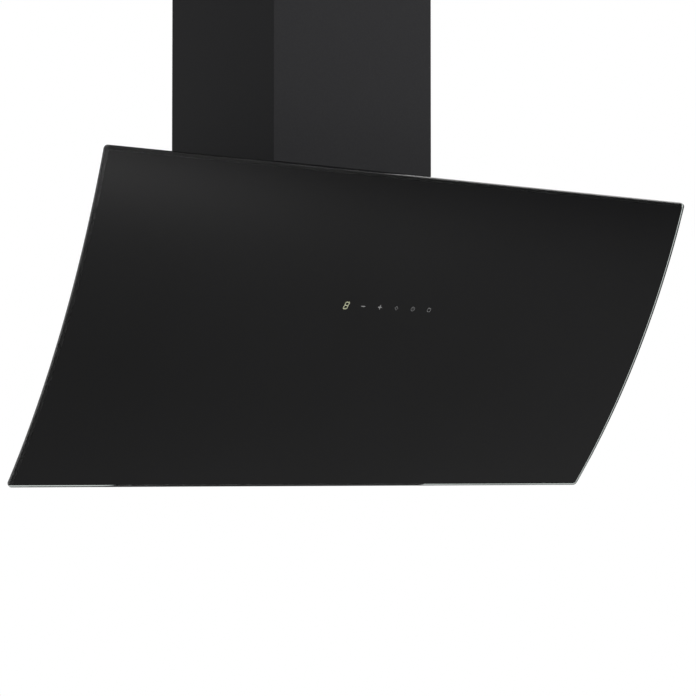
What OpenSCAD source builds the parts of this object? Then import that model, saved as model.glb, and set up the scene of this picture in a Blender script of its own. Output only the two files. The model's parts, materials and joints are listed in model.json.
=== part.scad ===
// Angled wall range hood with a curved glass front and a telescopic chimney.
// Millimetres. +X is to the right seen from the room, the wall is the plane y = 0,
// the room lies towards -Y and +Z is up. The origin is on the wall plane, at the
// centre of the four wall fixing holes. Heights named here are counted from the
// lower edge of the glass, and rest() takes them down to the origin.

/* [Glass panel] */
// Width of the glass
glass_w = 900; // [860:10:960]
// Straight distance from the lower to the upper edge of the glass
glass_chord = 431; // [428:1:440]
// Lean of that line from the vertical, upper edge towards the room
glass_tilt = 29.7; // [29:0.1:30.5]
// Bulge of the curved front face beyond that line
glass_bow = 19.7; // [17:0.1:21]
// Thickness of the glass
glass_t = 6; // [5:0.5:6.5]
// Radius of the corners of the glass
glass_corner_r = 5; // [4:1:12]
// Distance of the lower edge of the glass from the wall
glass_stand = 151.5; // [150:0.5:156]

/* [Wall fixings] */
// Height of the centre of the wall fixings above the lower edge of the glass
fix_height = 235; // [225:1:240]
// Distance between the wall fixings, left to right
fix_w = 340; // [320:5:360]
// Distance between the wall fixings, up and down
fix_h = 150; // [120:5:160]
// Diameter of the wall fixing holes
fix_hole_d = 8.5; // [6:0.5:10]

/* [Housing] */
// Width of the housing behind the tray
body_w = 424; // [420:2:436]
// Height of the lower face of the housing above the lower edge of the glass
body_low = 8; // [5:1:12]
// Height of the top of the housing above the lower edge of the glass
body_high = 394; // [392:0.5:396]
// Depth of the flat top of the housing, out from the wall
body_top_depth = 240; // [236:1:246]
// Thickness of the sheet steel of the housing, tray and door frame
sheet_t = 1.2; // [0.8:0.1:1.5]
// Width of the flanges that join the housing to the tray
flange_w = 18; // [14:1:20]

/* [Suction tray] */
// Width of the tray behind the glass
tray_w = 770; // [740:10:800]
// Distance from the chord of the glass to the rim of the tray
tray_front = 26; // [24:0.5:29]
// Depth of the tray from its rim to the back of its floor
tray_depth = 34; // [30:1:36]
// Lower end of the tray, up the slope from the lower edge of the glass
tray_low = 14; // [10:1:18]
// Upper end of the tray, up the slope
tray_high = 380; // [376:1:384]
// Width of the lip folded in around the mouth of the tray
tray_lip = 20; // [16:1:24]

/* [Grease filters] */
// Distance from each of the two grease filters to the side of the housing
filter_side = 16; // [14:1:24]
// Lower edge of the filters, up the slope
filter_low = 48; // [46:1:56]
// Upper edge of the filters, up the slope
filter_high = 338; // [330:1:342]
// Thickness of the filter frame
filter_t = 8; // [6:0.5:9]
// Width of the border of the filter frame
filter_border = 14; // [12:1:16]
// Clear width between the two filters
filter_between = 12; // [12:1:14]
// Radius of the pivot stubs of the filters
stub_r = 2; // [1.5:0.1:2.4]

/* [Blower] */
// Distance of the blower axle from the wall
blower_y = 84; // [83:0.5:87]
// Height of the blower axle above the lower edge of the glass
blower_h = 250; // [245:1:256]
// Radius of the fan wheel
wheel_r = 62; // [58:1:63]
// Width of the fan wheel
wheel_w = 108; // [96:2:112]
// Number of blades of the fan wheel
blade_count = 30; // [20:1:36]
// Width of the scroll, between its side plates
scroll_w = 140; // [136:2:150]
// Radius of the motor
motor_r = 36; // [32:1:38]
// Radius of the motor shaft
shaft_r = 4; // [3:0.5:5]

/* [Duct collar] */
// Outer radius of the collar that takes the duct
duct_r = 75; // [70:0.5:76]
// Height of the collar above the housing
collar_h = 55; // [50:1:64]
// Distance of the collar axis from the wall
duct_y = 113; // [111:0.5:115]
// Wall of the collar
collar_t = 1.5; // [1:0.1:2]

/* [Chimney] */
// Width of the lower chimney cover
chimney_w = 250.6; // [248:0.2:256]
// Depth of the lower chimney cover, out from the wall
chimney_d = 227.2; // [226:0.2:232]
// Height of the lower rim of the chimney above the lower edge of the glass
chimney_low = 399.4; // [399:0.1:402]
// Height of the lower chimney cover
lower_cover_h = 420; // [380:10:480]
// Height of the upper chimney cover
upper_cover_h = 400; // [380:10:440]
// Length of the upper cover that stands out of the lower one
upper_show = 100; // [95:1:130]
// Thickness of the chimney sheet
cover_t = 1; // [0.8:0.1:1.2]
// Gap all round between the two covers
cover_slip = 0.4; // [0.3:0.1:0.9]

/* [Lamps] */
// Radius of the lamp bodies
lamp_r = 26; // [22:1:30]
// Distance of the lamps from the middle of the hood
lamp_x = 140; // [120:5:160]
// Height of the lamp bodies above the lamp panel
lamp_h = 20; // [16:1:26]

/* [Touch controls] */
// Place of the row of controls, up the slope
row_s = 264.4; // [258:0.2:268]
// Place of the middle of the row, right of the middle of the glass
row_x = -3; // [-6:0.5:6]
// Distance from one symbol to the next
mark_pitch = 26; // [24:0.5:28]
// Height of the lit digit
digit_h = 9.8; // [8:0.2:12]
// Width of the lit digit
digit_w = 6.6; // [5:0.2:8]
// Size of a touch symbol
mark_size = 5.8; // [5:0.1:9]
// Width of the lines of the touch symbols
mark_line = 0.5; // [0.4:0.05:0.9]

/* [Hinges and catches] */
// Distance of each door hinge from the middle of the hood
hinge_x = 300; // [280:5:320]
// Height of the hinge pins, up the slope
hinge_s = 398; // [396:1:400]
// Distance of the hinge pins behind the chord of the glass
hinge_v = 16; // [15:0.5:18]
// Radius of the hinge pins
pin_r = 3; // [2.5:0.1:3.4]
// Distance of each magnetic catch from the middle of the hood
catch_x = 300; // [280:5:320]

/* [Fasteners] */
// Radius of the screw shanks
screw_r = 2; // [1.5:0.1:2.2]
// Radius of the screw heads
head_r = 3.6; // [3:0.1:4]
// Height of the screw heads
head_h = 1.6; // [1.2:0.1:1.7]

/* [Hidden] */

$fn = 64;
// Segments of the large arcs of the glass and of what is bonded to it
arc_fn = 720;
// A cut runs this far past the surface that it opens
over = 1;
// Shapes that trim a larger piece reach this far past it
far = 100;

// Clearances: two pieces that sit on each other, a screw in its hole, a turning pin in
// its bore, a tight bore on a shaft, and a piece in a pocket of its own size
seat = 0.2;
screw_gap = 0.2;
turn_gap = 0.05;
shaft_gap = 0.02;
pocket_gap = 1;
// The tip of a screw stands out this far behind the last sheet that it holds
screw_grip = 4;

// Glass, drawn about the axis of its curve
glass_r = (glass_chord * glass_chord / 4 + glass_bow * glass_bow) / (2 * glass_bow);
arc_v = glass_r - glass_bow;
arc_s = glass_chord / 2;

// Door frame, bonded to the glass by pads that keep off its edges
pad_t = 2;
pad_edge = 4;
pad_end = 8;
pad_middle = 20;
pad_case = 12;
frame_r = glass_r - glass_t - pad_t;
frame_w = 702;
frame_low = 22;
frame_above_hinge = 10;
frame_high = hinge_s + frame_above_hinge;
frame_rail = 34;
frame_flange = 8;
strip_w = 236;

// Tray and its floor
tray_back = tray_front + tray_depth;
floor_v = tray_back - sheet_t;
tray_screw_in = 12;
tray_screw_x = body_w / 2 + flange_w / 2;
tray_screw_s = [filter_low + tray_screw_in, (filter_low + filter_high) / 2, filter_high - tray_screw_in];

// Housing outline, in distance from the wall and height
foot_depth = -slope_y(tray_back, tray_low);
foot_top = slope_z(tray_back, tray_low);
brow_depth = -slope_y(tray_back, tray_high);
brow_h = slope_z(tray_back, tray_high);
brow_turn = atan2(body_high - brow_h, brow_depth - body_top_depth);

// The back plate, top and lamp panel lie between the sides, and each has flanges bent
// along the sides
bend_w = 20;
bend_gap = 2;
plate_x = body_w / 2 - sheet_t - seat;

// Screws in each side of the housing, as distance from the wall and height: along the
// back plate, the top and the lamp panel
side_screw_in = 60;
low_screw_y = [40, 80];
side_screws = [
    [bend_w / 2, body_low + side_screw_in],
    [bend_w / 2, (body_low + body_high) / 2],
    [bend_w / 2, body_high - side_screw_in],
    [side_screw_in, body_high - bend_w / 2],
    [body_top_depth - side_screw_in, body_high - bend_w / 2],
    [low_screw_y[0], body_low + bend_w / 2],
    [low_screw_y[1], body_low + bend_w / 2]
];

// Filters, which hang by stubs at their upper edge
filter_back = floor_v - 2 * seat;
filter_front = filter_back - filter_t;
filter_in = filter_between / 2;
filter_out = body_w / 2 - filter_side;
window_edge = 8;
window_top = 16;
stub_s = filter_high - filter_t / 2;
stub_v = filter_back - filter_t / 2;
stub_l = 4;
hanger_t = 2.5;
hanger_wrap = 5;
hanger_below = 7;
hanger_above = 6;
mesh_in = 1;
pull_w = 60;
pull_t = 1.5;
pull_h = 9;
pull_reach = 12;
pull_low = 3;
magnet_r = 5;
magnet_t = 3;
magnet_in = 40;
magnet_low = 3;

// Blower
scroll_wall = 2;
wheel_clear = 6;
tongue_r = wheel_r + wheel_clear + scroll_wall;
scroll_growth = 19.4;
tongue_angle = 52;
scroll_turn = 216;
throat_w = 130;
inlet_in = 12;
inlet_r = wheel_r - inlet_in;
scroll_front = scroll_r(scroll_turn, 0);
scroll_top = body_high - sheet_t - seat - blower_h;
side_in = scroll_w / 2;

// Fan wheel: a hub disc in the middle, which carries a cage of blades between two rings
blade_depth = 12;
blade_t = 1;
blade_lean = 28;
blade_in = 0.8;
ring_t = 2;
hub_t = 2;
hub_r = 11;
hub_l = 12;
blade_half = blade_depth / 2 - blade_in;
disc_r = wheel_r - blade_depth / 2 - blade_half * cos(blade_lean)
    - blade_t / 2 * sin(blade_lean) - seat;

// Motor in its cradle, and the shaft
motor_gap = 6;
motor_tail = 8;
motor_boss_gap = 2;
shaft_in = 58;
shaft_out = 14;
shaft_end_gap = 2;
cradle_t = 3.5;
cradle_rim = 5;
cradle_arm_w = 12;
cradle_arm_end = 8;
cradle_screw_in = 14;
cradle_x = -side_in - scroll_wall - seat;

// Run capacitor and its strap
cap_r = 14;
cap_x = [-165, -110];
cap_h = 235;
strap_in = 18;
strap_t = 1.5;
strap_foot = 8;

// Non-return flaps
flap_t = 1;
flap_clear = 2;
flap_r = duct_r - collar_t - flap_clear;
flap_axis = 5;
flap_pin_r = 1.5;
knuckle_r = 3;
flap_rise = 30;
flap_h = body_high + flap_rise;
flap_side = 0.5;
boss_l = 7;
boss_r = 4;
collar_flange = 12;
collar_flange_t = 2;

// Chimney, its ceiling bracket and the clips of the lower cover
upper_w = chimney_w - 2 * (cover_t + cover_slip);
upper_front = chimney_d - cover_t - cover_slip;
upper_rear = cover_t + cover_slip;
cover_return = 15;
upper_top = chimney_low + lower_cover_h + upper_show;
upper_low = upper_top - upper_cover_h;
bracket_h = 40;
bracket_depth = 50;
bracket_t = 1.5;
bracket_drop = 5;
bracket_hole_w = 160;
bracket_hole_r = 3;
bracket_out = upper_w / 2 - cover_t - seat;
bracket_z = [upper_top - bracket_drop - bracket_h, upper_top - bracket_drop];
bracket_screw_y = 28.4;
bracket_screw_z = (bracket_z[0] + bracket_z[1]) / 2;
clip_t = 1.5;
clip_h = 24;
clip_w = 30;
clip_y = 50;
clip_foot = 14;
clip_foot_w = 9;
clip_screw_drop = 7;
clip_out = chimney_w / 2 - cover_t - seat;
clip_screw_z = body_high + clip_h - clip_screw_drop;

// Lamps: a bezel with a rim below the panel, a lens on its lip and a board at its top
bezel_rim = 5;
bezel_t = 2;
bezel_lip = 4;
bezel_wall = 1.5;
bezel_back = 12;
lens_low = 0.5;
lens_t = 2;
led_board_t = 4;
led_w = 3.5;
led_t = 0.8;
led_ring_r = 13;
lamp_y = (foot_depth + sheet_t) / 2;

// Control unit
case_w = 190;
case_h = 46;
case_depth = 15;
case_wall = 1.5;
case_gap = 0.5;
case_front = glass_t + case_gap;
board_t = 1.6;
board_gap = 6;
board_front = case_front + board_gap;
mark_t = 0.3;
mark_gap = 0.03;
spring_r = 5;
spring_wall = 1;

// Electrics in the housing: the box hangs on the back plate under the top, beside the
// tips of the screws in the right side
box_side = 15;
box_w = 100;
box_x = [body_w / 2 - box_side - box_w, body_w / 2 - box_side];
box_depth = 58;
box_h = 48;
box_wall = 2;
box_drop = 1.5;
box_y = [-sheet_t - seat - box_depth, -sheet_t - seat];
box_z = [body_high - sheet_t - box_drop - box_h, body_high - sheet_t - box_drop];
board_z = box_z[0] + box_wall + seat;
supply_w = 28;
supply_h = 20;
supply_x = 16;
supply_y = 12;
terminal_w = 32;
terminal_d = 16;
terminal_h = 14;
terminal_x = 8;
terminal_y = 6;
gland_in = 11;
gland_x = box_x[0] + gland_in;
gland_y = 38;
gland_r = 8;
gland_bore_r = 4;
gland_l = 30;
gland_drop = 14;
gland_nut_t = 5;
gland_nut_out = 3;

// Hinges: a middle knuckle on the body leaf between two on the door leaf
knuckle_wall = 3;
knuckle_out = pin_r + knuckle_wall;
knuckle_cut = 1;
hinge_mid = 12;
hinge_side = 12;
hinge_gap = 0.4;
leaf_t = 2;
leaf_in = 4;
leaf_screw_in = 6;
leaf_w = hinge_mid + 2 * (hinge_side + hinge_gap);
leaf_screw_x = leaf_w / 2 - leaf_screw_in;
leaf_screw_v = (tray_front + tray_back) / 2;
pin_head = 1.5;

// Flat part of the door leaf, and the height where its arms leave that part
door_leaf_l = 12;
arm_drop = 8;
door_leaf_bend = hinge_s - knuckle_out - arm_drop;
door_leaf_low = door_leaf_bend - door_leaf_l;
door_leaf_high = hinge_s - knuckle_out;
door_leaf_v = frame_back(door_leaf_high) + seat;

// Catches: a magnet on the lower lip of the tray and a plate on the door frame
catch_low = 3;
catch_top = 2;
catch_s = [tray_low + catch_low, tray_low + tray_lip - catch_top];
plate_in = 2;
plate_t = 1.5;
plate_w = 28;
plate_v = frame_back(frame_low + 2 * plate_in) + 2 * seat;
catch_w = 32;

function slope_y(v, s) = -glass_stand + v * cos(glass_tilt) - s * sin(glass_tilt);
function slope_z(v, s) = v * sin(glass_tilt) + s * cos(glass_tilt);
function arc_at(r, s) = arc_v - sqrt(r * r - (s - arc_s) * (s - arc_s));
function frame_back(s) = arc_at(frame_r - sheet_t, s);
function scroll_r(turn, wall) = tongue_r - wall + scroll_growth * turn / scroll_turn;
function mark_x(i) = row_x + (i - 2.5) * mark_pitch;

// Heights above the lower edge of the glass
module rest() translate([0, 0, -fix_height]) children();

// The slope: z runs up the chord of the glass and y runs into the hood
module slope() rest() translate([0, -glass_stand, 0]) rotate([glass_tilt, 0, 0]) children();

// The tangent plane of the glass at the row of controls, y runs into the hood
module row()
    slope() translate([0, arc_at(glass_r, row_s), row_s])
        rotate([-asin((row_s - arc_s) / glass_r), 0, 0]) children();

module block(x, y, z)
    translate([x[0], y[0], z[0]]) cube([x[1] - x[0], y[1] - y[0], z[1] - z[0]]);

module left_and_right() {
    children();
    mirror([1, 0, 0]) children();
}

module rod_x(r, x) translate([x[0], 0, 0]) rotate([0, 90, 0]) cylinder(r = r, h = x[1] - x[0]);

module extrude_x(x) translate([x[0], 0, 0]) rotate([90, 0, 90]) linear_extrude(x[1] - x[0]) children();

// A plate cut from a hollow cylinder about the glass's own axis, in the slope frame
module arc_plate(r, t, x, s)
    intersection() {
        translate([x[0], arc_v, arc_s]) rotate([0, 90, 0]) difference() {
            cylinder(r = r, h = x[1] - x[0], $fn = arc_fn);
            translate([0, 0, -over]) cylinder(r = r - t, h = x[1] - x[0] + 2 * over, $fn = arc_fn);
        }
        block([x[0] - over, x[1] + over], [-far, far], s);
    }

module rounded_square(w, h, r) {
    translate([r, 0]) square([w - 2 * r, h]);
    translate([0, r]) square([w, h - 2 * r]);
    for (x = [r, w - r], y = [r, h - r]) translate([x, y]) circle(r);
}

// A pan-head screw along +z, its head below z = 0 and its shank above
module screw(l) {
    translate([0, 0, -head_h]) cylinder(r = head_r, h = head_h);
    cylinder(r = screw_r, h = l);
}

// A hole for a screw along +z through sheets that start at z = 0
module screw_hole(t) translate([0, 0, -over]) cylinder(r = screw_r + screw_gap, h = t + 2 * over);

// Glass door

module glass_panel() color([0.03, 0.03, 0.035]) slope() intersection() {
    arc_plate(glass_r, glass_t, [-glass_w / 2 - over, glass_w / 2 + over], [-over, glass_chord + over]);
    translate([-glass_w / 2, far, 0]) rotate([90, 0, 0])
        linear_extrude(2 * far) rounded_square(glass_w, glass_chord, glass_corner_r);
}

module pad_strip(x, s) arc_plate(glass_r - glass_t - seat / 2, pad_t - seat, x, s);

module bonding_pads() color([0.12, 0.12, 0.12]) slope() left_and_right() {
    rail_in = frame_w / 2 - frame_rail;
    rail_x = [strip_w / 2 + pad_end, rail_in];
    middle_x = [pad_middle, strip_w / 2 - pad_end];
    pad_strip([rail_in + pad_edge, frame_w / 2 - pad_edge], [frame_low + pad_edge, frame_high - pad_edge]);
    pad_strip(rail_x, [frame_low + pad_end, frame_low + frame_rail - pad_end]);
    pad_strip(rail_x, [frame_high - frame_rail + pad_end, frame_high - pad_end]);
    pad_strip(middle_x, [frame_low + pad_end, row_s - case_h / 2 - pad_case]);
    pad_strip(middle_x, [row_s + case_h / 2 + pad_case, frame_high - pad_end]);
}

module door_frame() color([0.16, 0.16, 0.17]) slope() difference() {
    union() {
        arc_plate(frame_r, sheet_t, [-frame_w / 2, frame_w / 2], [frame_low, frame_high]);
        left_and_right() arc_plate(frame_r, frame_flange, [frame_w / 2 - sheet_t, frame_w / 2],
            [frame_low, frame_high - frame_rail]);
    }
    left_and_right() block([strip_w / 2, frame_w / 2 - frame_rail], [-far, far],
        [frame_low + frame_rail, frame_high - frame_rail]);
    block([-case_w / 2 - pocket_gap, case_w / 2 + pocket_gap], [-far, far],
        [row_s - case_h / 2 - pocket_gap, row_s + case_h / 2 + pocket_gap]);
}

// Control unit behind the glass

module control_case() color([0.1, 0.1, 0.1]) row() difference() {
    block([-case_w / 2, case_w / 2], [case_front, case_front + case_depth], [-case_h / 2, case_h / 2]);
    block([-case_w / 2 + case_wall, case_w / 2 - case_wall],
        [case_front - over, case_front + case_depth - case_wall],
        [-case_h / 2 + case_wall, case_h / 2 - case_wall]);
}

module touch_board() color([0.05, 0.3, 0.15]) row()
    block([-case_w / 2 + case_wall + seat, case_w / 2 - case_wall - seat],
        [board_front, board_front + board_t],
        [-case_h / 2 + case_wall + seat, case_h / 2 - case_wall - seat]);

module sensor_springs() color([0.7, 0.7, 0.65]) row()
    for (i = [1 : 5]) translate([mark_x(i), board_front - seat, 0]) rotate([90, 0, 0])
        difference() {
            cylinder(r = spring_r, h = board_gap - 2 * seat);
            translate([0, 0, -over]) cylinder(r = spring_r - spring_wall, h = board_gap + 2 * over);
        }

module display_module() color([0.15, 0.15, 0.12]) row()
    block([mark_x(0) - digit_h / 2, mark_x(0) + digit_h / 2],
        [case_front + seat, board_front - seat], [-digit_h * 0.75, digit_h * 0.75]);

// A thin printed or lit mark on the face of the glass, drawn in x and z
module mark() translate([0, -mark_gap, 0]) rotate([90, 0, 0]) linear_extrude(mark_t) children();

// The digit's seven bars, leaning to the right
module display_digit() color([0.75, 0.78, 0.45]) row() translate([mark_x(0), 0, 0]) {
    bar = digit_h * 0.12;
    lean = 0.22;
    mark() multmatrix([[1, lean, 0, 0], [0, 1, 0, 0], [0, 0, 1, 0], [0, 0, 0, 1]]) {
        for (y = [-1, 0, 1]) translate([0, y * (digit_h - bar) / 2])
            square([digit_w - bar * 1.4, bar], center = true);
        for (x = [-1, 1], y = [-1, 1])
            translate([x * (digit_w - bar) / 2, y * (digit_h - bar) / 4])
                square([bar, (digit_h - bar) / 2 - bar * 0.4], center = true);
    }
}

module ring_2d(r, w) difference() {
    circle(r);
    circle(r - w);
}

// Minus, plus, a diamond for the lamps, a clock and a power symbol
module touch_symbols() color([0.7, 0.7, 0.7]) row() {
    thick = mark_line * 2;
    rhomb = mark_size * 0.68;
    translate([mark_x(1), 0, 0]) mark() square([mark_size, thick], center = true);
    translate([mark_x(2), 0, 0]) mark() {
        square([mark_size, thick], center = true);
        square([thick, mark_size], center = true);
    }
    translate([mark_x(3), 0, 0]) mark() rotate(45) difference() {
        square(rhomb, center = true);
        square(rhomb - 2 * mark_line, center = true);
    }
    translate([mark_x(4), 0, 0]) mark() {
        ring_2d(mark_size / 2, mark_line);
        translate([-mark_line / 2, -mark_line / 2]) square([mark_line, mark_size * 0.34]);
        translate([-mark_line / 2, -mark_line / 2]) square([mark_size * 0.26, mark_line]);
    }
    translate([mark_x(5), 0, 0]) mark() {
        difference() {
            ring_2d(mark_size / 2, mark_line);
            translate([-mark_line * 2, 0]) square([mark_line * 4, mark_size]);
        }
        translate([-mark_line / 2, mark_size * 0.12]) square([mark_line, mark_size * 0.4]);
    }
}

// Hinges and catches of the glass door

module knuckle(x) translate([0, hinge_v, hinge_s]) difference() {
    rod_x(knuckle_out, x);
    rod_x(pin_r + turn_gap, [x[0] - over, x[1] + over]);
}

// Clears an arm of a leaf from the bore of its knuckle
module knuckle_core(x) translate([0, hinge_v, hinge_s]) rod_x(pin_r + 1, [x[0] - over, x[1] + over]);

module hinge_leaf_body() color([0.45, 0.45, 0.47]) slope() translate([hinge_x, 0, 0]) difference() {
    mid_x = [-hinge_mid / 2, hinge_mid / 2];
    foot_v = [tray_front + leaf_in, tray_back - leaf_in];
    foot_s = [tray_high + seat, tray_high + seat + leaf_t];
    union() {
        knuckle(mid_x);
        difference() {
            extrude_x(mid_x) polygon([
                [hinge_v + pin_r, hinge_s + knuckle_out - knuckle_cut],
                [hinge_v + pin_r, hinge_s - knuckle_out + knuckle_cut],
                [foot_v[0], foot_s[0]],
                [foot_v[1], foot_s[0]],
                [foot_v[1], foot_s[1]]
            ]);
            knuckle_core(mid_x);
        }
        block([-leaf_w / 2, leaf_w / 2], foot_v, foot_s);
    }
    for (x = [-1, 1]) translate([x * leaf_screw_x, leaf_screw_v, foot_s[0]]) screw_hole(leaf_t);
}

module hinge_leaf_door() color([0.45, 0.45, 0.47]) slope() translate([hinge_x, 0, 0]) {
    for (side = [-1, 1]) {
        x0 = side > 0 ? hinge_mid / 2 + hinge_gap : -leaf_w / 2;
        arm_x = [x0, x0 + hinge_side];
        knuckle(arm_x);
        difference() {
            extrude_x(arm_x) polygon([
                [door_leaf_v, door_leaf_high],
                [door_leaf_v, door_leaf_bend],
                [door_leaf_v + leaf_t, door_leaf_bend],
                [hinge_v + pin_r, hinge_s - pin_r - knuckle_cut],
                [hinge_v - pin_r, hinge_s + pin_r]
            ]);
            knuckle_core(arm_x);
        }
    }
    block([-leaf_w / 2, leaf_w / 2], [door_leaf_v, door_leaf_v + leaf_t], [door_leaf_low, door_leaf_bend]);
}

module hinge_pins() color([0.75, 0.75, 0.77]) slope() left_and_right()
    translate([hinge_x, hinge_v, hinge_s]) {
        rod_x(pin_r, [-leaf_w / 2 - over, leaf_w / 2 + over]);
        rod_x(pin_r + pin_head, [leaf_w / 2 + hinge_gap, leaf_w / 2 + hinge_gap + pin_head]);
    }

module hinge_screws() color([0.6, 0.6, 0.62]) slope() left_and_right()
    for (x = [-1, 1])
        translate([hinge_x + x * leaf_screw_x, leaf_screw_v, tray_high + 2 * seat + leaf_t])
            rotate([180, 0, 0]) screw(leaf_t + sheet_t + screw_grip);

module catch_plates() color([0.7, 0.7, 0.72]) slope() left_and_right()
    block([catch_x - plate_w / 2, catch_x + plate_w / 2], [plate_v, plate_v + plate_t],
        [frame_low + plate_in, catch_s[1]]);

module catch_magnets() color([0.2, 0.2, 0.2]) slope() left_and_right()
    block([catch_x - catch_w / 2, catch_x + catch_w / 2],
        [plate_v + plate_t + seat, tray_front - seat], catch_s);

// Tray and housing

module tray_screw_places() for (s = tray_screw_s) translate([tray_screw_x, floor_v, s])
    rotate([-90, 0, 0]) children();

module suction_tray() color([0.13, 0.13, 0.14]) slope() difference() {
    block([-tray_w / 2, tray_w / 2], [tray_front, tray_back], [tray_low, tray_high]);
    block([-tray_w / 2 + sheet_t, tray_w / 2 - sheet_t], [tray_front + sheet_t, floor_v],
        [tray_low + sheet_t, tray_high - sheet_t]);
    block([-tray_w / 2 + tray_lip, tray_w / 2 - tray_lip], [tray_front - over, tray_front + sheet_t + over],
        [tray_low + tray_lip, tray_high - tray_lip]);
    left_and_right() {
        block([filter_in + window_edge, filter_out - window_edge], [floor_v - over, tray_back + over],
            [filter_low + window_edge, filter_high - window_top]);
        tray_screw_places() screw_hole(sheet_t);
        for (x = [-1, 1]) translate([hinge_x + x * leaf_screw_x, leaf_screw_v, tray_high - sheet_t])
            screw_hole(sheet_t);
    }
}

module tray_screws() color([0.6, 0.6, 0.62]) slope() left_and_right()
    tray_screw_places() translate([0, 0, -seat]) screw(2 * (sheet_t + seat) + screw_grip);

module side_outline() polygon([
    [0, body_low], [-foot_depth, body_low], [-foot_depth, foot_top],
    [-brow_depth, brow_h], [-body_top_depth, body_high], [0, body_high]
]);

module side_screw_places() for (p = side_screws) translate([body_w / 2, -p[0], p[1]])
    rotate([0, -90, 0]) children();

// What lies in front of the back of the tray
module before_tray_back() slope()
    block([-body_w, body_w], [-far, tray_back + seat], [-far, glass_chord + far]);

module housing_sides() color([0.13, 0.13, 0.14]) left_and_right() difference() {
    union() {
        rest() extrude_x([body_w / 2 - sheet_t, body_w / 2]) side_outline();
        slope() block([body_w / 2 - sheet_t, body_w / 2 + flange_w],
            [tray_back + seat, tray_back + seat + sheet_t], [filter_low, filter_high]);
    }
    before_tray_back();
    slope() tray_screw_places() screw_hole(2 * sheet_t);
    rest() side_screw_places() screw_hole(sheet_t);
}

// The top and brow, folded from one sheet
module housing_shell() color([0.13, 0.13, 0.14]) difference() {
    rest() {
        extrude_x([-plate_x, plate_x]) {
            polygon([
                [-body_top_depth, body_high], [-brow_depth, brow_h],
                [-brow_depth + sheet_t * sin(brow_turn), brow_h - sheet_t * cos(brow_turn)],
                [-body_top_depth + sheet_t * sin(brow_turn), body_high - sheet_t * cos(brow_turn)]
            ]);
            translate([-body_top_depth, body_high - sheet_t]) square([body_top_depth, sheet_t]);
        }
        left_and_right() block([plate_x - sheet_t, plate_x],
            [-body_top_depth + bend_gap, -bend_w - bend_gap], [body_high - bend_w, body_high]);
    }
    before_tray_back();
    rest() translate([0, -duct_y, body_high - sheet_t - over])
        cylinder(r = duct_r - collar_t, h = sheet_t + 2 * over);
    rest() translate([gland_x, -gland_y, body_high - sheet_t - over])
        cylinder(r = gland_r + seat, h = sheet_t + 2 * over);
    rest() left_and_right() side_screw_places() screw_hole(2 * (sheet_t + seat));
}

module back_plate() color([0.5, 0.5, 0.52]) rest() difference() {
    plate_z = [body_low + sheet_t + seat, body_high - sheet_t - seat];
    union() {
        block([-plate_x, plate_x], [-sheet_t, 0], plate_z);
        left_and_right() block([plate_x - sheet_t, plate_x], [-bend_w, 0], plate_z);
    }
    for (x = [-1, 1], z = [-1, 1]) translate([x * fix_w / 2, over, fix_height + z * fix_h / 2])
        rotate([90, 0, 0]) cylinder(r = fix_hole_d / 2, h = sheet_t + 2 * over);
    left_and_right() side_screw_places() screw_hole(2 * (sheet_t + seat));
}

module lamp_panel() color([0.13, 0.13, 0.14]) rest() difference() {
    depth = [-foot_depth, -sheet_t - seat];
    union() {
        block([-plate_x, plate_x], depth, [body_low, body_low + sheet_t]);
        block([-plate_x, plate_x], [-foot_depth, -foot_depth + sheet_t], [body_low, foot_top - seat]);
        left_and_right() block([plate_x - sheet_t, plate_x],
            [-foot_depth, -bend_w - bend_gap], [body_low, body_low + bend_w]);
    }
    left_and_right() translate([lamp_x, -lamp_y, body_low - over])
        cylinder(r = lamp_r + seat, h = sheet_t + 2 * over);
    left_and_right() side_screw_places() screw_hole(2 * (sheet_t + seat));
}

module housing_screws() color([0.6, 0.6, 0.62]) rest() left_and_right()
    side_screw_places() translate([0, 0, -seat]) screw(2 * (sheet_t + seat) + screw_grip);

// Lamps

module at_lamp(side) rest() translate([side * lamp_x, -lamp_y, body_low]) children();

module lamp_bezel(side) color([0.75, 0.75, 0.77]) at_lamp(side) rotate_extrude() polygon([
    [lamp_r - bezel_lip, -bezel_t], [lamp_r + bezel_rim, -bezel_t],
    [lamp_r + bezel_rim, -seat], [lamp_r, -seat],
    [lamp_r, lamp_h], [lamp_r - bezel_back, lamp_h],
    [lamp_r - bezel_back, lamp_h - bezel_wall], [lamp_r - bezel_wall, lamp_h - bezel_wall],
    [lamp_r - bezel_wall, lens_low], [lamp_r - bezel_lip, lens_low]
]);

module lamp_lenses() color([0.9, 0.9, 0.88]) for (side = [-1, 1]) at_lamp(side)
    translate([0, 0, lens_low + seat]) cylinder(r = lamp_r - bezel_wall - seat, h = lens_t);

module lamp_boards() color([0.85, 0.85, 0.8]) for (side = [-1, 1]) at_lamp(side)
    translate([0, 0, lamp_h - bezel_wall - seat - led_board_t]) {
        cylinder(r = lamp_r - bezel_wall - seat, h = led_board_t);
        for (a = [0 : 60 : 300]) rotate(a)
            translate([led_ring_r - led_w / 2, -led_w / 2, -led_t]) cube([led_w, led_w, led_t + over]);
    }

// Blower

module at_blower() rest() translate([0, -blower_y, blower_h]) children();

// The spiral runs from the tongue at the back, down and round to the front
function scroll_points(wall) = [
    for (turn = [0 : 4 : scroll_turn])
        scroll_r(turn, wall) * [cos(tongue_angle - turn), sin(tongue_angle - turn)]
];

module scroll_outline(wall, top) {
    points = scroll_points(wall);
    front = points[len(points) - 1];
    polygon(concat(points, [
        [-scroll_front + wall, front[1]], [-scroll_front + wall, top], [-scroll_front + throat_w - wall, top]
    ]));
}

module scroll_side(x) difference() {
    extrude_x([x, x + scroll_wall]) scroll_outline(0, scroll_top);
    rod_x(inlet_r, [x - over, x + scroll_wall + over]);
}

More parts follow.
